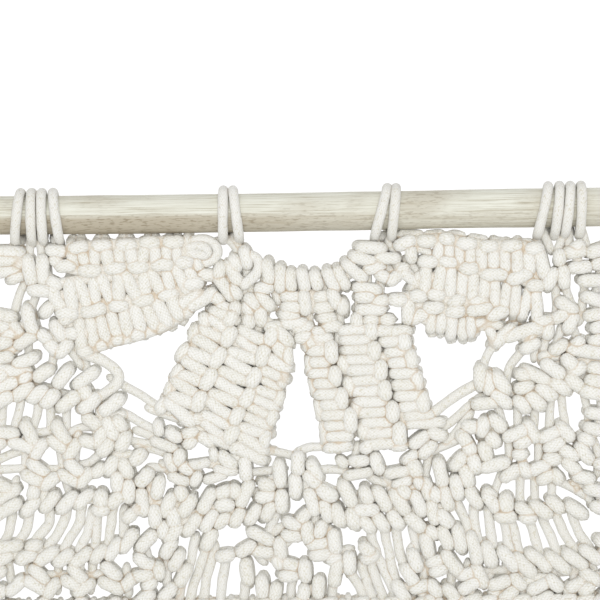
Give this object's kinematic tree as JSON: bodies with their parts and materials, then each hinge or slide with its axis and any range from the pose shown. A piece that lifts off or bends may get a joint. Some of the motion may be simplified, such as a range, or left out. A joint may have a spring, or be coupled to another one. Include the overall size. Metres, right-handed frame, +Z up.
{
  "type": "macrame wall hanging and rod",
  "caption": "Open knotted cotton wall hanging with radiating knot bars, scalloped hitch rows, nets and a straight fringe, looped over a pale wooden rod",
  "frame": {"origin": "The middle of the rod's axis, where the rod rests on its hooks", "axes": "+X along the rod to the viewer's right, +Y from the front of the hanging towards the wall, +Z up"},
  "size_m": [0.4, 0.0288, 0.3483],
  "materials": {
    "wood": "pale limed softwood branch, peeled and dry, matt",
    "cotton_cord": "undyed braided cotton cord, matt, slightly fuzzy"
  },
  "bodies": {
    "root": {"rod": "wood", "macrame": "cotton_cord", "fringe": "cotton_cord"}
  },
  "joints": []
}
